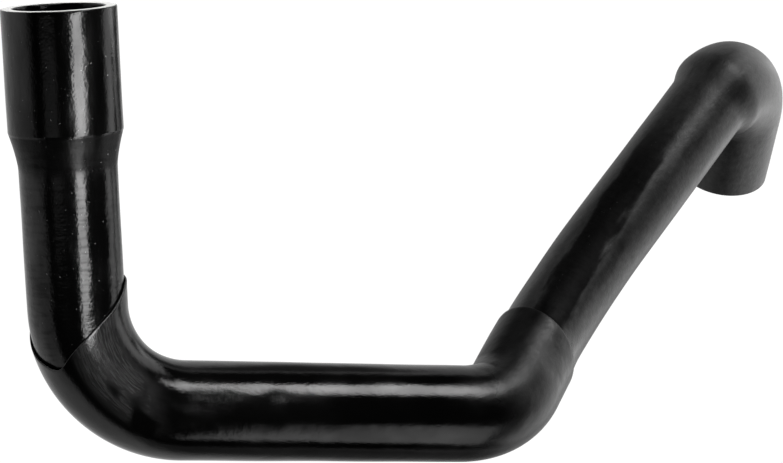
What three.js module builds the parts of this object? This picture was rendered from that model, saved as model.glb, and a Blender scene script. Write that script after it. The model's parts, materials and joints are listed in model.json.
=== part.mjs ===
// Moulded radiator hose with a protective sleeve, in millimetres, +Z up.
// The hose is drawn with its cuff upright, then laid down on the floor as it would come to rest.
import * as THREE from 'three';

// Bending table, from the cuff's mouth to the tail's mouth: the cuff leg, the bottom leg,
// the slow curve of the long leg and the end elbow.
// Each row is a straight run, then a bend; plane turns the bend about the run, against the last bend.
const bends = {
  cuffLeg: { straight: 127.2, radius: 50.4, angle: 82.4, plane: 0 },
  bottomLeg: { straight: 129.5, radius: 37.4, angle: 55.4, plane: -49.3 },
  slowCurve: { straight: 3.4, radius: 250, angle: 23.4, plane: 111.7 },
  endElbow: { straight: 85.8, radius: 29.2, angle: 113, plane: 141.6 },
};
const tailLength = 34.8;

// Outside diameters
const cuffDiameter = 48.2;
const tubeDiameter = 41.3;
const longLegDiameter = 40;
const tailDiameter = 46.9;

// Bores: both ends fit a 38 mm spigot
const cuffBore = 38;
const tubeBore = 32;
const longLegBore = 31;
const tailBore = 38;

// Where the section changes, measured along the middle of the hose.
// The reduction to the long leg starts past the second bend, and the tail flares as its elbow starts.
const cuffLength = 49;
const cuffConeLength = 16.3;
const reductionPastBend = 20.3;
const reductionLength = 13.6;
const tailFlareLength = 11.4;

// Sleeve: a thin loose tube around the first two bends, with both ends cut aslant.
// It starts before the first bend and ends past the second, by these mean lengths.
// The slant is how far the cut strays from the mean, and the lead is the angle around the hose
// where it lies farthest on, counted from the outer side of the first bend towards its face.
const sleeveClearance = 0.3;
const sleeveWall = 0.8;
const sleeveStart = { beforeBend: 1.2, slant: 16.3, lead: 32.7 };
const sleeveEnd = { pastBend: 23.4, slant: 8.1, lead: 183 };

// How the hose lies: which way of the drawing is up once it has come to rest on the outer side
// of its first bend and the rim of its tail, and the turn in degrees that puts its longest side along X
const upWhenLying = new THREE.Vector3(0.30571, -0.92463, 0.22717);
const facing = -10;

// Fineness of the surfaces
const sidesAround = 24;
const bendStep = 8;
const coneSteps = 3;
const closestStations = 0.5;
const sleeveSteps = 44;

// Materials
const rubberBlack = 0x121213;
const sleeveBlack = 0x0d0d0e;

const radians = THREE.MathUtils.degToRad;

// Follow the bending table, giving one run for each straight and each arc.
// A frame has the point, the way along, and two directions across: out and side.
function followBends() {
  const runs = [];
  let frame = {
    point: new THREE.Vector3(0, 0, 0),
    along: new THREE.Vector3(0, 0, -1),
    out: new THREE.Vector3(-1, 0, 0),
    side: new THREE.Vector3(0, -1, 0),
  };
  const bendAxis = new THREE.Vector3(0, -1, 0);
  let station = 0;

  function addStraight(length) {
    const from = frame;
    const at = (distance) => ({ ...from, point: from.point.clone().addScaledVector(from.along, distance) });
    runs.push({ start: station, length, at });
    station += length;
    frame = at(length);
  }

  function addBend(radius, angle) {
    const from = frame;
    const axis = bendAxis.clone();
    const inward = new THREE.Vector3().crossVectors(axis, from.along);
    const centre = from.point.clone().addScaledVector(inward, radius);
    const at = (distance) => {
      const turned = distance / radius;
      return {
        point: from.point.clone().sub(centre).applyAxisAngle(axis, turned).add(centre),
        along: from.along.clone().applyAxisAngle(axis, turned),
        out: from.out.clone().applyAxisAngle(axis, turned),
        side: from.side.clone().applyAxisAngle(axis, turned),
      };
    };
    const length = radius * radians(angle);
    runs.push({ start: station, length, at, angle });
    station += length;
    frame = at(length);
  }

  for (const bend of Object.values(bends)) {
    addStraight(bend.straight);
    bendAxis.applyAxisAngle(frame.along, radians(bend.plane));
    addBend(bend.radius, bend.angle);
  }
  addStraight(tailLength);
  return runs;
}

const runs = followBends();
const hoseLength = runs.at(-1).start + runs.at(-1).length;
const [firstBend, secondBend, , elbow] = runs.filter((run) => run.angle);
const reductionStart = secondBend.start + secondBend.length + reductionPastBend;
const tailFlareStart = elbow.start;

function frameAt(station) {
  const run = runs.findLast((each) => each.start <= station) ?? runs[0];
  return run.at(station - run.start);
}

// A diameter that goes evenly from one value to the next over a stretch of the hose
function taper(station, start, length, before, after) {
  const share = THREE.MathUtils.clamp((station - start) / length, 0, 1);
  return THREE.MathUtils.lerp(before, after, share);
}

function diameterAt(station, cuff, tube, longLeg, tail) {
  if (station < reductionStart) return taper(station, cuffLength, cuffConeLength, cuff, tube);
  if (station < tailFlareStart) return taper(station, reductionStart, reductionLength, tube, longLeg);
  return taper(station, tailFlareStart, tailFlareLength, longLeg, tail);
}

function hoseRadius(station) {
  return diameterAt(station, cuffDiameter, tubeDiameter, longLegDiameter, tailDiameter) / 2;
}

function boreRadius(station) {
  return diameterAt(station, cuffBore, tubeBore, longLegBore, tailBore) / 2;
}

// Stations of the hose: the ends of each run, steps around each bend, and steps along each taper
function hoseStations() {
  const stations = [0, hoseLength];
  for (const run of runs) {
    const steps = run.angle ? Math.ceil(run.angle / bendStep) : 1;
    for (let step = 0; step < steps; step += 1) {
      stations.push(run.start + (run.length * step) / steps);
    }
  }
  const tapers = [
    [cuffLength, cuffConeLength],
    [reductionStart, reductionLength],
    [tailFlareStart, tailFlareLength],
  ];
  for (const [start, length] of tapers) {
    for (let step = 0; step <= coneSteps; step += 1) {
      stations.push(start + (length * step) / coneSteps);
    }
  }
  stations.sort((a, b) => a - b);
  return stations.filter((station, i) => i === 0 || station - stations[i - 1] > closestStations);
}

// A tube wall as one closed body: outer skin, inner skin and the two end faces.
// stationAt gives the station of a step for an angle around the hose, so an end can be cut aslant.
function tubeWall(steps, stationAt, outerRadius, innerRadius) {
  const positions = [];
  const triangles = [];
  const ringSize = 2 * sidesAround;

  for (let step = 0; step < steps; step += 1) {
    for (const radiusAt of [outerRadius, innerRadius]) {
      for (let side = 0; side < sidesAround; side += 1) {
        const around = (2 * Math.PI * side) / sidesAround;
        const station = stationAt(step, around);
        const frame = frameAt(station);
        const radius = radiusAt(station);
        const point = frame.point
          .clone()
          .addScaledVector(frame.out, radius * Math.cos(around))
          .addScaledVector(frame.side, radius * Math.sin(around));
        positions.push(point.x, point.y, point.z);
      }
    }
  }

  const outer = (step, side) => step * ringSize + (side % sidesAround);
  const inner = (step, side) => outer(step, side) + sidesAround;
  const addQuad = (a, b, c, d) => triangles.push(a, b, c, a, c, d);

  for (let side = 0; side < sidesAround; side += 1) {
    const next = side + 1;
    for (let step = 0; step < steps - 1; step += 1) {
      addQuad(outer(step, side), outer(step + 1, side), outer(step + 1, next), outer(step, next));
      addQuad(inner(step, side), inner(step, next), inner(step + 1, next), inner(step + 1, side));
    }
    addQuad(outer(0, side), outer(0, next), inner(0, next), inner(0, side));
    const last = steps - 1;
    addQuad(outer(last, side), inner(last, side), inner(last, next), outer(last, next));
  }

  const geometry = new THREE.BufferGeometry();
  geometry.setAttribute('position', new THREE.Float32BufferAttribute(positions, 3));
  geometry.setIndex(triangles);
  geometry.computeVertexNormals();
  return geometry;
}

function makeHose() {
  const stations = hoseStations();
  const geometry = tubeWall(stations.length, (step) => stations[step], hoseRadius, boreRadius);
  const rubber = new THREE.MeshStandardMaterial({ color: rubberBlack, roughness: 0.42, metalness: 0 });
  const mesh = new THREE.Mesh(geometry, rubber);
  mesh.name = 'hose';
  return mesh;
}

function makeSleeve() {
  const innerRadius = (station) => hoseRadius(station) + sleeveClearance;
  const outerRadius = (station) => innerRadius(station) + sleeveWall;
  const meanStart = firstBend.start - sleeveStart.beforeBend;
  const meanEnd = secondBend.start + secondBend.length + sleeveEnd.pastBend;
  const stationAt = (step, around) => {
    const start = meanStart + sleeveStart.slant * Math.cos(around - radians(sleeveStart.lead));
    const end = meanEnd + sleeveEnd.slant * Math.cos(around - radians(sleeveEnd.lead));
    return THREE.MathUtils.lerp(start, end, step / sleeveSteps);
  };
  const geometry = tubeWall(sleeveSteps + 1, stationAt, outerRadius, innerRadius);
  const rubber = new THREE.MeshStandardMaterial({ color: sleeveBlack, roughness: 0.5, metalness: 0 });
  const mesh = new THREE.Mesh(geometry, rubber);
  mesh.name = 'protective_sleeve';
  return mesh;
}

// Lay the drawn hose down, its lowest point on the floor and the middle of its box over the origin
function layDown(meshes) {
  const drawn = new THREE.Group();
  drawn.add(...meshes);
  const upwards = new THREE.Vector3(0, 0, 1);
  const level = new THREE.Quaternion().setFromUnitVectors(upWhenLying.clone().normalize(), upwards);
  const turn = new THREE.Quaternion().setFromAxisAngle(upwards, radians(facing));
  drawn.quaternion.multiplyQuaternions(turn, level);
  const box = new THREE.Box3().setFromObject(drawn, true);
  const middle = box.getCenter(new THREE.Vector3());
  drawn.position.set(-middle.x, -middle.y, -box.min.z);
  return drawn;
}

const radiatorHose = layDown([makeHose(), makeSleeve()]);
radiatorHose.name = 'radiator_hose';

export default radiatorHose;
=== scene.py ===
"""A moulded radiator hose with a thin protective sleeve, lying on a pale studio floor."""
import json
import math

import bpy
from mathutils import Matrix, Vector, noise


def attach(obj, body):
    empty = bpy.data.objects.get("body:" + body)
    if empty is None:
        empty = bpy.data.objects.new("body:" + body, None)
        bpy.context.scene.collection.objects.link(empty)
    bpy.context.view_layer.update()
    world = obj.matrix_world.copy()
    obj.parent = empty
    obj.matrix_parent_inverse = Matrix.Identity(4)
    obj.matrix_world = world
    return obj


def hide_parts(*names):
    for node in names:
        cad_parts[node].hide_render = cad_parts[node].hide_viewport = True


MM = 0.001

# Bending table in millimetres and degrees, from the cuff's mouth to the tail's mouth:
# straight run, bend radius, bend angle, and turn of the bend's plane about the run.
BENDS = (
    (127.2, 50.4, 82.4, 0.0),
    (129.5, 37.4, 55.4, -49.3),
    (3.4, 250.0, 23.4, 111.7),
    (85.8, 29.2, 113.0, 141.6),
)
TAIL_LENGTH = 34.8

# Section of the hose in millimetres
CUFF_RADIUS = 24.1
TUBE_RADIUS = 20.65
LONG_LEG_RADIUS = 20.0
TAIL_RADIUS = 23.45
CUFF_BORE_RADIUS = 19.0
TUBE_BORE_RADIUS = 16.0
LONG_LEG_BORE_RADIUS = 15.5
TAIL_BORE_RADIUS = 19.0
CUFF_LENGTH = 51.3
CONE_LENGTH = 15.5
REDUCTION_PAST_BEND = 20.3
REDUCTION_LENGTH = 13.6
FLARE_LENGTH = 11.4
MOUTH_ROUNDING = 0.6

# Sleeve in millimetres and degrees: its fit, how far it reaches, and the cut of its two ends
SLEEVE_CLEARANCE = 0.3
SLEEVE_WALL = 0.8
SLEEVE_BEFORE_BEND = 1.2
SLEEVE_START_SLANT = 16.3
SLEEVE_START_LEAD = 32.7
SLEEVE_START_HEEL = 9.0
SLEEVE_TOE_AROUND = 44.0
SLEEVE_TOE_LENGTH = 2.5
SLEEVE_PAST_BEND = 23.4
SLEEVE_END_SLANT = 8.1
SLEEVE_END_LEAD = 183.0
SLEEVE_ROUNDING = 0.3

# How the first edge of the sleeve stands off the hose, at the tip and the toe of its cut
LIP_TIP_AROUND = 140.0
LIP_TIP_HEIGHT = 0.2
LIP_TOE_AROUND = 38.0
LIP_TOE_HEIGHT = 0.75
LIP_LENGTH = 4.0

# A small dent on the front of the bottom leg, its width in radians, and the pinch on the inner side
# of the second bend
DENT_STATION = 233.0
DENT_AROUND = 110.0
DENT_DEPTH = 0.4
DENT_LENGTH = 6.0
DENT_WIDTH = 0.35
CREASE_DEPTH = 1.5
CREASE_LENGTH = 5.0

# Slow unevenness of the wall in millimetres
WAVE_HEIGHT = 0.16
WAVE_LENGTH = 26.0
WAVES_AROUND = 1.3

# Rubber: its colour, its dust, the colours of its cut faces, where a pale one is a painted highlight, how
# strongly it reflects, the depth of its fine relief in metres, and the dull band along the long leg in
# degrees
BLACK = (0.0006, 0.0006, 0.0006)
HOSE_DUST = (0.09, 0.09, 0.09)
SLEEVE_DUST = (0.026, 0.026, 0.026)
# The pale colour of the hose's cut faces is a painted highlight, for the light that the cut faces catch
CUT_PAINTED_HIGHLIGHT = (0.93, 0.93, 0.91)
SLEEVE_START_CUT = (0.01, 0.01, 0.01)
# The pale colour of the sleeve's end cut is a painted highlight, for the light that the cut face catches
SLEEVE_END_CUT_PAINTED_HIGHLIGHT = (0.9, 0.9, 0.9)
RUBBER_SHINE = 0.35
RELIEF_DEPTH = 0.00022
DULL_BAND_ANGLE = 143.0
DULL_BAND_HALF_WIDTH = 24.0
DULL_BAND_TWIST = 22.0

# Fineness of the modelled surfaces
HOSE_SIDES = 120
SLEEVE_SIDES = 144
OUTER_STEP = 1.3
BORE_STEP = 4.0
SLEEVE_OUTER_STEP = 1.1
SLEEVE_BORE_STEP = 2.2
CUFF_EDGE_STEP = 0.25
ROUNDING_STEPS = 4

# Camera, from the outline in the photograph
CAMERA_PLACE = Vector((-0.66800, -0.09127, 0.90082))
CAMERA_RIGHT = Vector((0.804818, -0.058348, 0.590647))
CAMERA_UP = Vector((-0.006088, 0.994292, 0.106517))
CAMERA_BACK = Vector((-0.593491, -0.089323, 0.799869))
CAMERA_LENS = 107.89

# Studio lights: place as metres right of, above and towards the camera from the middle of the hose,
# what they point at in the same way, width and height in metres, brightness against a white surface,
# and roll in degrees
HOSE_MIDDLE = Vector((0, 0, 0.04))
MIDDLE = (0, 0, 0)
MOUTH = (-0.146, 0.102, 0.111)
SOFTBOXES = (
    ("strip_light", (-0.089, 0.009, 0.20), MIDDLE, 0.085, 0.165, 15.0, 6.0),
    ("mouth_light", (-0.146, 0.282, 0.197), MOUTH, 0.06, 0.06, 12.0, 0.0),
    ("top_softbox", (0.86, 1.22, 0.58), MIDDLE, 0.50, 0.62, 11.0, 0.0),
    ("elbow_softbox", (0.44, 0.75, 1.22), MIDDLE, 0.50, 0.50, 3.0, 0.0),
    ("low_softbox", (0.50, -0.70, 0.42), MIDDLE, 0.40, 0.66, 1.8, 0.0),
    ("left_reflector", (-0.35, -0.14, 0.70), MIDDLE, 0.30, 0.10, 0.4, 0.0),
)
# A white card that stands beside the hose on the right: its place, depth, height and brightness
CARD_RIGHT = 0.40
CARD_FRONT = 0.0
CARD_DEPTH = 0.80
CARD_HEIGHT = 1.10
CARD_BRIGHTNESS = 1.7
ROOM_BRIGHTNESS = 0.008
FLOOR_BRIGHTNESS = 1.03
FAR_FLOOR_BRIGHTNESS = 0.25
REFLECTED_FLOOR_SHARE = 0.68
REFLECTED_FLOOR_DEPTH = 0.002
FLOOR_SIZE = 12.0
# The floor is evenly bright near its middle, and has its far brightness from the second distance on
FLOOR_MIDDLE = (0.10, 0.05, 0)
FLOOR_FADE = (0.36, 1.1)
# Patches of the floor that the rubber reflects darker or lighter: middle in metres, radii along and
# across, turn in degrees, and how much brightness they add
FLOOR_PATCHES = (
    ("shade_between_legs", (0.025, 0.170), (0.190, 0.072), 65.0, -0.85),
    ("shade_in_front", (0.000, -0.400), (0.200, 0.270), 0.0, -0.80),
    ("light_by_tail", (0.700, 0.060), (0.380, 0.400), 0.0, 2.0),
)


# Path of the hose

class Run:
    """A straight or a bend of the hose, which gives the frame at any distance along it."""

    def __init__(self, start, length, point, along, out, side, axis=None, radius=0.0):
        self.start = start
        self.length = length
        self.point = point
        self.along = along
        self.out = out
        self.side = side
        self.axis = axis
        self.radius = radius

    def at(self, distance):
        if self.axis is None:
            return self.point + self.along * distance, self.along, self.out, self.side
        turn = Matrix.Rotation(distance / self.radius, 3, self.axis)
        centre = self.point + self.axis.cross(self.along) * self.radius
        point = turn @ (self.point - centre) + centre
        return point, turn @ self.along, turn @ self.out, turn @ self.side


class Path:
    """The middle line of the hose, drawn from the bending table."""

    def __init__(self):
        self.runs = []
        self.length = 0.0
        self._frame = (Vector((0, 0, 0)), Vector((0, 0, -1)), Vector((-1, 0, 0)), Vector((0, -1, 0)))
        axis = Vector((0, -1, 0))
        for straight, radius, angle, plane in BENDS:
            self._add(straight)
            axis = Matrix.Rotation(math.radians(plane), 3, self._frame[1]) @ axis
            self._add(radius * math.radians(angle), axis, radius)
        self._add(TAIL_LENGTH)
        self.bends = [run for run in self.runs if run.axis]

    def _add(self, length, axis=None, radius=0.0):
        run = Run(self.length, length, *self._frame, axis, radius)
        self.runs.append(run)
        self.length += length
        self._frame = run.at(length)

    def at(self, station):
        run = self.runs[0]
        for each in self.runs:
            if each.start <= station:
                run = each
        return run.at(station - run.start)

    def inner_angle(self, bend):
        """Angle around the hose, from out towards side, that faces the middle of a bend."""
        inward = bend.axis.cross(bend.along)
        return math.atan2(inward.dot(bend.side), inward.dot(bend.out))


PATH = Path()
FIRST_BEND, SECOND_BEND, _, ELBOW = PATH.bends
REDUCTION_START = SECOND_BEND.start + SECOND_BEND.length + REDUCTION_PAST_BEND
FLARE_START = ELBOW.start
SLEEVE_START = FIRST_BEND.start - SLEEVE_BEFORE_BEND
SLEEVE_END = SECOND_BEND.start + SECOND_BEND.length + SLEEVE_PAST_BEND


def end_face(node, mount):
    """Middle of the flat end face that a mount lies on, and the way it faces."""
    on_face = Vector(mount["pos_m"])
    out = Vector(mount["axis"]).normalized()
    corners = [
        v.co for v in node.data.vertices
        if abs((v.co - on_face).dot(out)) < 0.05 * MM and (v.co - on_face).length < 60 * MM
    ]
    return sum(corners, Vector()) / len(corners), out


def basis(first, towards):
    """Axes along first, across it towards the second direction, and across both."""
    x = first.normalized()
    y = (towards - x * towards.dot(x)).normalized()
    return Matrix((x, y, x.cross(y))).transposed()


def lie_on_frame(frame):
    """The matrix that takes the drawn path, in millimetres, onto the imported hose, in metres."""
    mounts = {mount["name"]: mount for mount in frame["record"]["mounts"]}
    node = frame["nodes"]["hose"]
    mouth, mouth_out = end_face(node, mounts["cuff_end"])
    tail, _ = end_face(node, mounts["tail_end"])
    drawn = basis(-PATH.runs[0].along, PATH.at(PATH.length)[0])
    packed = basis(mouth_out, tail - mouth)
    turn = packed @ drawn.transposed()
    return Matrix.Translation(mouth) @ turn.to_4x4() @ Matrix.Scale(MM, 4)


# Sizes along the hose

def ease_out(share):
    """From 0 to 1, leaving at an angle and arriving smoothly."""
    return 1 - (1 - share) ** 1.4


def ease_both(share):
    """From 0 to 1, leaving and arriving smoothly."""
    return share * share * (3 - 2 * share)


def change(station, start, length, before, after, ease):
    share = min(max((station - start) / length, 0.0), 1.0)
    return before + (after - before) * ease(share)


def hose_radius(station):
    if station < REDUCTION_START:
        return change(station, CUFF_LENGTH, CONE_LENGTH, CUFF_RADIUS, TUBE_RADIUS, ease_out)
    if station < FLARE_START:
        return change(station, REDUCTION_START, REDUCTION_LENGTH, TUBE_RADIUS, LONG_LEG_RADIUS, ease_both)
    return change(station, FLARE_START, FLARE_LENGTH, LONG_LEG_RADIUS, TAIL_RADIUS, ease_both)


def bore_radius(station):
    if station < REDUCTION_START:
        return change(station, CUFF_LENGTH, CONE_LENGTH, CUFF_BORE_RADIUS, TUBE_BORE_RADIUS, ease_both)
    if station < FLARE_START:
        return change(
            station, REDUCTION_START, REDUCTION_LENGTH, TUBE_BORE_RADIUS, LONG_LEG_BORE_RADIUS, ease_both
        )
    return change(station, FLARE_START, FLARE_LENGTH, LONG_LEG_BORE_RADIUS, TAIL_BORE_RADIUS, ease_both)


def steps(start, end, step):
    """Stations from start to end, evenly spaced at about the step, both ends included."""
    count = max(1, round(abs(end - start) / step))
    return [start + (end - start) * i / count for i in range(count + 1)]


def rounded_corner(station, radius, rounding, along, outward):
    """Points of a quarter circle that rounds the corner of an end face, from the face to the wall.

    along is the way into the hose, 1 or -1, and outward is 1 for the outer corner and -1 for the bore's.
    """
    points = []
    for i in range(ROUNDING_STEPS + 1):
        angle = math.pi / 2 * i / ROUNDING_STEPS
        points.append((
            station + along * rounding * (1 - math.sin(angle)),
            radius - outward * rounding * (1 - math.cos(angle)),
        ))
    return points[::-1]


def wall_section(length, outer, bore, step, bore_step, rounding, crests=()):
    """The wall's section as a closed line of stations and radii, with its four corners rounded."""
    points = rounded_corner(0.0, outer(0.0), rounding, 1, 1)
    stations = sorted(steps(rounding + step, length - rounding - step, step) + list(crests))
    points += [(station, outer(station)) for station in stations]
    points += rounded_corner(length, outer(length), rounding, -1, 1)[::-1]
    points += rounded_corner(length, bore(length), rounding, -1, -1)
    points += [(station, bore(station)) for station in steps(length - bore_step, bore_step, bore_step)]
    points += rounded_corner(0.0, bore(0.0), rounding, 1, -1)[::-1]
    return points


# Modelling

def deselect_all():
    if bpy.context.object and bpy.context.object.mode != "OBJECT":
        bpy.ops.object.mode_set(mode="OBJECT")
    bpy.ops.object.select_all(action="DESELECT")


def spin_section(name, section, sides):
    """A tube, still straight along Z, spun from the closed line of its wall's section."""
    deselect_all()
    bpy.ops.mesh.primitive_circle_add(vertices=len(section), radius=1.0, fill_type="NOTHING")
    piece = bpy.context.object
    piece.name = name
    piece.data.name = name
    for vertex, (station, radius) in zip(piece.data.vertices, section):
        vertex.co = (radius, 0.0, station)
    bpy.ops.object.mode_set(mode="EDIT")
    bpy.ops.mesh.select_all(action="SELECT")
    bpy.ops.mesh.spin(
        steps=sides, angle=2 * math.pi, center=(0, 0, 0), axis=(0, 0, 1), use_auto_merge=True
    )
    bpy.ops.mesh.select_all(action="SELECT")
    bpy.ops.mesh.remove_doubles(threshold=0.002)
    bpy.ops.mesh.normals_make_consistent(inside=False)
    bpy.ops.object.mode_set(mode="OBJECT")
    return piece


def remember_straight(piece):
    """Keeps each corner's place on the straight tube, in millimetres, for the materials' patterns."""
    attribute = piece.data.attributes.new("straight", "FLOAT_VECTOR", "POINT")
    flat = [value for vertex in piece.data.vertices for value in vertex.co]
    attribute.data.foreach_set("vector", flat)


def crease(station, around):
    """How far the inner side of the second bend is pinched in, in millimetres."""
    middle = SECOND_BEND.start + SECOND_BEND.length * 0.5
    beside = math.cos(around - PATH.inner_angle(SECOND_BEND))
    if beside <= 0:
        return 0.0
    return CREASE_DEPTH * math.exp(-abs(station - middle) / CREASE_LENGTH) * beside ** 3


def dent(station, around):
    """How deep the small dent in the front of the bottom leg is, in millimetres."""
    away = math.remainder(around - math.radians(DENT_AROUND), 2 * math.pi)
    along = (station - DENT_STATION) / DENT_LENGTH
    return DENT_DEPTH * math.exp(-(along ** 2) - (away / DENT_WIDTH) ** 2)


def waviness(station, around):
    """Slow unevenness of the moulded wall, in millimetres."""
    across = (WAVES_AROUND * math.cos(around), WAVES_AROUND * math.sin(around))
    return WAVE_HEIGHT * noise.noise(Vector((*across, station / WAVE_LENGTH)))


def bend_to_path(piece, lie, station_of, offset_of):
    """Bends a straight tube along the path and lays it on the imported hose.

    station_of moves a corner along the hose, and offset_of moves it outwards.
    """
    frames = {}
    for vertex in piece.data.vertices:
        x, y, z = vertex.co
        around = math.atan2(y, x)
        station = station_of(z, around)
        key = round(station, 4)
        if key not in frames:
            frames[key] = PATH.at(station)
        point, _, out, side = frames[key]
        radius = math.hypot(x, y) + offset_of(station, around, z)
        vertex.co = lie @ (point + out * (radius * math.cos(around)) + side * (radius * math.sin(around)))
    piece.data.update()


def make_hose(lie):
    section = wall_section(
        PATH.length, hose_radius, bore_radius, OUTER_STEP, BORE_STEP, MOUTH_ROUNDING,
        crests=(CUFF_LENGTH - CUFF_EDGE_STEP, CUFF_LENGTH, CUFF_LENGTH + CUFF_EDGE_STEP),
    )
    hose = spin_section("moulded_hose", section, HOSE_SIDES)
    remember_straight(hose)
    mark_faces(hose, lambda middle: middle.z < 0.02 or middle.z > PATH.length - 0.02)
    bend_to_path(
        hose, lie,
        station_of=lambda z, around: z,
        offset_of=lambda station, around, z: (
            waviness(station, around) - crease(station, around) - dent(station, around)
        ),
    )
    return hose


def sleeve_station(z, around, length):
    """Where a place on the straight sleeve lies along the hose, between its two slanted ends."""
    start = SLEEVE_START_SLANT * math.cos(around - math.radians(SLEEVE_START_LEAD))
    toe = max(0.0, math.cos(around - math.radians(SLEEVE_TOE_AROUND))) ** 24
    start = SLEEVE_START + max(start, (start - 2 * SLEEVE_START_HEEL) / 3) + SLEEVE_TOE_LENGTH * toe
    end = SLEEVE_END + SLEEVE_END_SLANT * math.cos(around - math.radians(SLEEVE_END_LEAD))
    return start + (end - start) * z / length


def start_lip(z, around):
    """How far the sleeve's first edge stands off the hose, most on the two sides of the slanted cut."""
    tip = max(0.0, math.cos(around - math.radians(LIP_TIP_AROUND))) ** 8
    toe = max(0.0, math.cos(around - math.radians(LIP_TOE_AROUND))) ** 10
    return (LIP_TIP_HEIGHT * tip + LIP_TOE_HEIGHT * toe) * math.exp(-z / LIP_LENGTH)


def make_sleeve(lie):
    length = SLEEVE_END - SLEEVE_START
    bore = TUBE_RADIUS + SLEEVE_CLEARANCE
    section = wall_section(
        length, lambda z: bore + SLEEVE_WALL, lambda z: bore,
        SLEEVE_OUTER_STEP, SLEEVE_BORE_STEP, SLEEVE_ROUNDING,
    )
    sleeve = spin_section("sleeve", section, SLEEVE_SIDES)
    remember_straight(sleeve)
    mark_faces(sleeve, lambda middle: middle.z < 0.06 or middle.z > length - 0.06)
    bend_to_path(
        sleeve, lie,
        station_of=lambda z, around: sleeve_station(z, around, length),
        offset_of=lambda station, around, z: (
            waviness(station, around) - crease(station, around) - dent(station, around)
            + start_lip(z, around)
        ),
    )
    return sleeve


def mark_faces(piece, is_cut):
    """Gives the cut end faces the piece's second material, and shades the rest smooth."""
    for face in piece.data.polygons:
        face.use_smooth = True
        face.material_index = 1 if is_cut(face.center) else 0


# Materials

class Nodes:
    """Adds shader nodes to a new material in plain calls."""

    def __init__(self, name):
        self.material = bpy.data.materials.new(name)
        self.material.use_nodes = True
        self.tree = self.material.node_tree
        self.shader = self.tree.nodes["Principled BSDF"]

    def add(self, kind, **settings):
        node = self.tree.nodes.new(kind)
        for key, value in settings.items():
            setattr(node, key, value)
        return node

    def join(self, source, target):
        self.tree.links.new(source, target)

    def straight(self, scale=(1, 1, 1), place=(0, 0, 0)):
        """Places on the straight tube in millimetres, stretched by the scale."""
        attribute = self.add("ShaderNodeAttribute", attribute_name="straight")
        mapping = self.add("ShaderNodeMapping")
        mapping.inputs["Scale"].default_value = scale
        mapping.inputs["Location"].default_value = place
        self.join(attribute.outputs["Vector"], mapping.inputs["Vector"])
        return mapping.outputs["Vector"]

    def along_hose(self):
        """Distance along the straight tube from the start of the piece, in millimetres."""
        parts = self.add("ShaderNodeSeparateXYZ")
        self.join(self.straight(), parts.inputs["Vector"])
        return parts.outputs["Z"]

    def facing(self, where, angle):
        """How far a place lies towards an angle around the hose, in millimetres."""
        node = self.add("ShaderNodeVectorMath", operation="DOT_PRODUCT")
        self.join(where, node.inputs[0])
        node.inputs[1].default_value = (math.cos(math.radians(angle)), math.sin(math.radians(angle)), 0)
        return node.outputs["Value"]

    def dull_band(self, along):
        """1 on the dull band along the front of the long leg, 0 elsewhere, with a broken edge."""
        twist = math.radians(DULL_BAND_TWIST)
        turned = self.add("ShaderNodeVectorRotate", rotation_type="Z_AXIS")
        self.join(self.straight(), turned.inputs["Vector"])
        self.join(self.span(along, REDUCTION_START, FLARE_START, 0.0, -twist), turned.inputs["Angle"])
        broken = self.times(self.noise(self.straight((1, 1, 0.3)), 0.20, 4.0), 3.6)
        edge = LONG_LEG_RADIUS * math.cos(math.radians(DULL_BAND_HALF_WIDTH)) + 1.8
        facing = self.facing(turned.outputs["Vector"], DULL_BAND_ANGLE)
        band = self.span(self.plus(facing, broken), edge - 1.1, edge + 1.0)
        start = self.span(along, REDUCTION_START - 2, REDUCTION_START + 6)
        end = self.span(along, FLARE_START - 70, FLARE_START + 6, 1.0, 0.15)
        return self.times(band, self.times(start, end))

    def noise(self, where, scale, detail=3.0, roughness=0.5):
        node = self.add("ShaderNodeTexNoise")
        node.inputs["Scale"].default_value = scale
        node.inputs["Detail"].default_value = detail
        node.inputs["Roughness"].default_value = roughness
        self.join(where, node.inputs["Vector"])
        return node.outputs["Fac"]

    def span(self, value, low, high, to_low=0.0, to_high=1.0):
        node = self.add("ShaderNodeMapRange", interpolation_type="SMOOTHSTEP")
        node.inputs["From Min"].default_value = low
        node.inputs["From Max"].default_value = high
        node.inputs["To Min"].default_value = to_low
        node.inputs["To Max"].default_value = to_high
        self.join(value, node.inputs["Value"])
        return node.outputs["Result"]

    def times(self, a, b):
        node = self.add("ShaderNodeMath", operation="MULTIPLY")
        self.join(a, node.inputs[0])
        if isinstance(b, (int, float)):
            node.inputs[1].default_value = b
        else:
            self.join(b, node.inputs[1])
        return node.outputs["Value"]

    def plus(self, a, b):
        node = self.add("ShaderNodeMath", operation="ADD")
        self.join(a, node.inputs[0])
        self.join(b, node.inputs[1])
        return node.outputs["Value"]

    def colours(self, factor, dark, light):
        node = self.add("ShaderNodeMix", data_type="RGBA")
        self.join(factor, node.inputs["Factor"])
        node.inputs["A"].default_value = (*dark, 1)
        node.inputs["B"].default_value = (*light, 1)
        return node.outputs["Result"]

    def bump(self, height, distance, strength=1.0):
        node = self.add("ShaderNodeBump")
        node.inputs["Distance"].default_value = distance
        node.inputs["Strength"].default_value = strength
        self.join(height, node.inputs["Height"])
        self.join(node.outputs["Normal"], self.shader.inputs["Normal"])


def black_rubber(name, dust_colour, dust):
    """Near-black rubber that shines only by its surface, with light dust where the mask says."""
    nodes = Nodes(name)
    nodes.shader.inputs["Specular IOR Level"].default_value = RUBBER_SHINE
    nodes.join(nodes.colours(dust(nodes), BLACK, dust_colour), nodes.shader.inputs["Base Color"])
    return nodes


def specks(nodes):
    """Light specks, fewer past the cuff leg."""
    dust = nodes.span(nodes.noise(nodes.straight(), 0.85, 1.0), 0.745, 0.81)
    return nodes.times(dust, nodes.span(nodes.along_hose(), 95, 150, 1.0, 0.25))


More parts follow.
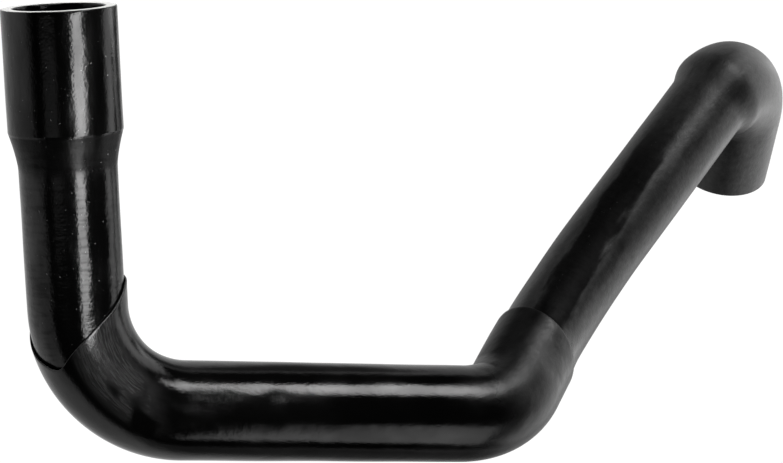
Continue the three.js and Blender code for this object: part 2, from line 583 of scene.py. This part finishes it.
def cone_mask(nodes, along):
    """1 on the cone below the cuff, 0 elsewhere."""
    cone_end = CUFF_LENGTH + CONE_LENGTH
    before_end = nodes.span(along, cone_end - 4, cone_end + 4, 1.0, 0.0)
    return nodes.times(nodes.span(along, CUFF_LENGTH, CUFF_LENGTH + 1.5), before_end)


def mould_rings(nodes, along):
    """Faint rings around the cuff leg, and how strong they are along the hose."""
    rings = nodes.noise(nodes.straight((0.16, 0.16, 1.0)), 0.62, 2.0)
    past_cuff = nodes.span(along, CUFF_LENGTH, CUFF_LENGTH + 30, 0.15, 1.0)
    return rings, nodes.times(past_cuff, nodes.span(along, 150, 250, 1.0, 0.12))


def hose_rubber():
    """Satin rubber, duller past the second bend, with fine grain, faint rings and light specks."""
    nodes = black_rubber("hose_rubber", HOSE_DUST, specks)
    along = nodes.along_hose()
    uneven = nodes.noise(nodes.straight((1, 1, 0.35)), 0.11, 4.0)
    band = nodes.dull_band(along)
    cone = cone_mask(nodes, along)
    rings, ring_strength = mould_rings(nodes, along)

    roughness = nodes.span(along, REDUCTION_START - 20, REDUCTION_START + 40, 0.155, 0.43)
    roughness = nodes.plus(roughness, nodes.times(cone, 0.15))
    roughness = nodes.plus(roughness, nodes.span(uneven, 0.3, 0.7, -0.04, 0.05))
    roughness = nodes.plus(roughness, nodes.times(band, 0.1))
    nodes.join(roughness, nodes.shader.inputs["Roughness"])

    past_second_bend = nodes.span(along, 360, 420, 0.0, 0.36)
    mottled = nodes.times(nodes.noise(nodes.straight(), 0.35, 3.0), past_second_bend)
    shine = nodes.plus(nodes.span(uneven, 0.3, 0.7, 0.22, 0.40), mottled)
    shine = nodes.times(shine, nodes.span(band, 0, 1, 1.0, 0.12))
    shine = nodes.times(shine, nodes.span(cone, 0, 1, 1.0, 0.38))
    dull_rings = nodes.times(nodes.span(rings, 0.35, 0.55, -0.08, 0.0), ring_strength)
    nodes.join(nodes.plus(shine, dull_rings), nodes.shader.inputs["Specular IOR Level"])

    grain = nodes.times(nodes.noise(nodes.straight(), 1.0, 2.0), 0.34)
    lumps = nodes.noise(nodes.straight((1.0, 1.0, 0.7)), 0.13, 2.0)
    height = nodes.plus(grain, nodes.times(nodes.times(rings, 0.42), ring_strength))
    nodes.bump(nodes.plus(height, lumps), RELIEF_DEPTH)
    return nodes.material


def bend_scuffs(nodes):
    """Fine scuffs along the sleeve, in patches on the outer side of the first bend."""
    streaks = nodes.noise(nodes.straight((1.0, 1.0, 0.05)), 3.0, 3.0)
    streaks = nodes.span(streaks, 0.40, 0.68, 0.35, 1.0)
    patches = nodes.span(nodes.noise(nodes.straight(), 0.06, 1.0), 0.40, 0.5)
    on_bend = nodes.span(nodes.along_hose(), 35, 58, 1.0, 0.0)
    outer_side = nodes.span(nodes.facing(nodes.straight(), 96), 17.6, 20.9, 0.0, 0.65)
    return nodes.times(nodes.times(streaks, outer_side), nodes.times(patches, on_bend))


def inward(nodes):
    """How far a place lies towards the inner side of the second bend, in millimetres."""
    return nodes.facing(nodes.straight(), math.degrees(PATH.inner_angle(SECOND_BEND)))


def worn_end(nodes):
    """Wear on the outer side of the second bend, from there to the sleeve's end."""
    outer_side = nodes.span(inward(nodes), 0, 7, 1.0, 0.0)
    uneven = nodes.span(nodes.noise(nodes.straight(), 0.12, 3.0), 0.3, 0.7, 0.5, 1.0)
    return nodes.times(nodes.times(uneven, outer_side), nodes.span(nodes.along_hose(), 208, 238))


def sleeve_dust(nodes):
    return nodes.plus(bend_scuffs(nodes), worn_end(nodes))


def sleeve_rubber():
    """Thin, shiny rubber, scuffed outside the first bend and worn around the second."""
    nodes = black_rubber("sleeve_rubber", SLEEVE_DUST, sleeve_dust)
    along = nodes.along_hose()
    blotches = nodes.noise(nodes.straight((1, 1, 0.6)), 0.07, 3.0)
    worn = nodes.span(along, 180, 225, 0.0, 0.22)
    roughness = nodes.plus(nodes.span(blotches, 0.35, 0.65, 0.08, 0.16), worn)
    nodes.join(roughness, nodes.shader.inputs["Roughness"])

    dull_inside = nodes.times(nodes.span(inward(nodes), 4, 11), nodes.span(along, 218, 238))
    shine = nodes.span(blotches, 0.35, 0.7, 0.26, 0.42)
    shine = nodes.times(shine, nodes.span(dull_inside, 0, 1, 1.0, 0.4))
    nodes.join(shine, nodes.shader.inputs["Specular IOR Level"])

    grain = nodes.times(nodes.noise(nodes.straight(), 1.3, 2.0), 0.25)
    lumps = nodes.times(nodes.noise(nodes.straight(), 0.10, 2.0), 0.9)
    lumps = nodes.times(lumps, nodes.span(along, 185, 215, 1.0, 2.2))
    scratches = nodes.times(bend_scuffs(nodes), -0.10)
    nodes.bump(nodes.plus(nodes.plus(grain, lumps), scratches), RELIEF_DEPTH)
    return nodes.material


def cut_rubber(name, start_colour, end_colour):
    """The matt faces left by the knife, at the start and the end of a piece, coloured from the start
    colour to the end colour; a pale colour here is a painted highlight for the light that the cut face
    catches.
    """
    nodes = Nodes(name)
    streaks = nodes.noise(nodes.straight((0.4, 1.0, 0.4)), 1.2, 2.0)
    at_end = nodes.span(nodes.along_hose(), 10, 60)
    # Colour from the start to the end of the piece; a pale one is a painted highlight on the cut face
    colour = nodes.colours(at_end, start_colour, end_colour)
    shade = nodes.add("ShaderNodeMix", data_type="RGBA", blend_type="MULTIPLY")
    shade.inputs["Factor"].default_value = 1.0
    nodes.join(colour, shade.inputs["A"])
    nodes.join(nodes.colours(streaks, (0.7, 0.7, 0.7), (1, 1, 1)), shade.inputs["B"])
    nodes.join(shade.outputs["Result"], nodes.shader.inputs["Base Color"])
    nodes.shader.inputs["Roughness"].default_value = 0.7
    nodes.bump(streaks, 0.00008)
    return nodes.material


def floor_white(name, share, patches=()):
    """White around the hose, fading with distance as the light does, times the share."""
    nodes = Nodes(name)
    coordinates = nodes.add("ShaderNodeTexCoord").outputs["Object"]
    from_middle = nodes.add("ShaderNodeVectorMath", operation="DISTANCE")
    nodes.join(coordinates, from_middle.inputs[0])
    from_middle.inputs[1].default_value = FLOOR_MIDDLE
    brightness = nodes.span(
        from_middle.outputs["Value"], *FLOOR_FADE, FLOOR_BRIGHTNESS * share, FAR_FLOOR_BRIGHTNESS * share
    )
    for _, middle, radii, turn, added in patches:
        mapping = nodes.add("ShaderNodeMapping", vector_type="TEXTURE")
        mapping.inputs["Location"].default_value = (*middle, 0)
        mapping.inputs["Rotation"].default_value = (0, 0, math.radians(turn))
        mapping.inputs["Scale"].default_value = (*radii, 1)
        nodes.join(coordinates, mapping.inputs["Vector"])
        from_patch = nodes.add("ShaderNodeVectorMath", operation="LENGTH")
        nodes.join(mapping.outputs["Vector"], from_patch.inputs[0])
        change_here = nodes.span(from_patch.outputs["Value"], 0.8, 1.2, 1.0 + added, 1.0)
        brightness = nodes.times(brightness, change_here)
    nodes.shader.inputs["Base Color"].default_value = (0.01, 0.01, 0.01, 1)
    nodes.shader.inputs["Roughness"].default_value = 0.9
    nodes.shader.inputs["Specular IOR Level"].default_value = 0.0
    nodes.shader.inputs["Emission Color"].default_value = (1, 1, 1, 1)
    nodes.join(brightness, nodes.shader.inputs["Emission Strength"])
    return nodes.material


# Studio

def add_camera():
    camera = bpy.data.objects.new("camera", bpy.data.cameras.new("camera"))
    bpy.context.scene.collection.objects.link(camera)
    turn = Matrix((CAMERA_RIGHT, CAMERA_UP, CAMERA_BACK)).transposed()
    camera.matrix_world = Matrix.Translation(CAMERA_PLACE) @ turn.to_4x4()
    camera.data.lens = CAMERA_LENS
    camera.data.sensor_width = 36.0
    camera.data.clip_end = 20.0
    bpy.context.scene.camera = camera


def add_plane(name, height, share, patches=()):
    deselect_all()
    bpy.ops.mesh.primitive_plane_add(size=FLOOR_SIZE, location=(0, 0, height))
    plane = bpy.context.object
    plane.name = name
    plane.data.materials.append(floor_white(name, share, patches))
    return plane


def add_floor():
    """The white floor, and just under it the dimmer one that the rubber reflects."""
    floor = add_plane("floor", 0.0, 1.0)
    floor.visible_glossy = False
    add_plane("reflected_floor", -REFLECTED_FLOOR_DEPTH, REFLECTED_FLOOR_SHARE, FLOOR_PATCHES)


def from_camera_axes(right, up, back):
    return CAMERA_RIGHT * right + CAMERA_UP * up + CAMERA_BACK * back


def add_area_light(name, place, back, width, height, brightness, roll=0.0):
    """A rectangular light with its back to the given direction, brightness times as bright as white."""
    light = bpy.data.lights.new(name, "AREA")
    light.shape = "RECTANGLE"
    light.size = width
    light.size_y = height
    light.energy = brightness * math.pi * width * height
    lamp = bpy.data.objects.new(name, light)
    bpy.context.scene.collection.objects.link(lamp)
    lamp.visible_camera = False
    back = back.normalized()
    right = CAMERA_UP.cross(back).normalized()
    turn = Matrix((right, back.cross(right), back)).transposed()
    turn = Matrix.Rotation(math.radians(roll), 3, back) @ turn
    lamp.matrix_world = Matrix.Translation(HOSE_MIDDLE + place) @ turn.to_4x4()


def add_lights():
    for name, place, target, width, height, brightness, roll in SOFTBOXES:
        lamp_place = from_camera_axes(*place)
        back = lamp_place - from_camera_axes(*target)
        add_area_light(name, lamp_place, back, width, height, brightness, roll)
    card_middle = from_camera_axes(CARD_RIGHT, 0, CARD_FRONT - CARD_DEPTH / 2)
    add_area_light("white_card", card_middle, CAMERA_RIGHT, CARD_DEPTH, CARD_HEIGHT, CARD_BRIGHTNESS)


def add_world():
    world = bpy.data.worlds.new("studio")
    bpy.context.scene.world = world
    world.use_nodes = True
    world.node_tree.nodes["Background"].inputs["Color"].default_value = (1, 1, 1, 1)
    world.node_tree.nodes["Background"].inputs["Strength"].default_value = ROOM_BRIGHTNESS


def finish_piece(piece, node, materials):
    for material in materials:
        piece.data.materials.append(material)
    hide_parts(node)
    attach(piece, "root")


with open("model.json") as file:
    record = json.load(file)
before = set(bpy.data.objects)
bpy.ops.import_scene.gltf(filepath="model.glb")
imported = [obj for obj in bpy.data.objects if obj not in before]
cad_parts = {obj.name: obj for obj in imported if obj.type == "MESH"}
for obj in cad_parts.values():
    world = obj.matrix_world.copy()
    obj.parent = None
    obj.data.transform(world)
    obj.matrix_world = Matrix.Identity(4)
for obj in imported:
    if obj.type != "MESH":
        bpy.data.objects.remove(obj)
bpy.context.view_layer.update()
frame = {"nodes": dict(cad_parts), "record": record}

add_camera()
add_floor()
add_world()
add_lights()
bpy.context.scene.view_settings.view_transform = "Standard"

lie = lie_on_frame(frame)
# The hose's cut faces carry a painted highlight in their pale colour
finish_piece(
    make_hose(lie), "hose",
    [hose_rubber(), cut_rubber("cut_hose_painted_highlight", CUT_PAINTED_HIGHLIGHT, CUT_PAINTED_HIGHLIGHT)],
)
# The sleeve's end cut carries a painted highlight in its pale colour; its start cut keeps the rubber's
# dark colour
finish_piece(
    make_sleeve(lie), "protective_sleeve",
    [sleeve_rubber(), cut_rubber("cut_sleeve_painted_highlight", SLEEVE_START_CUT, SLEEVE_END_CUT_PAINTED_HIGHLIGHT)],
)
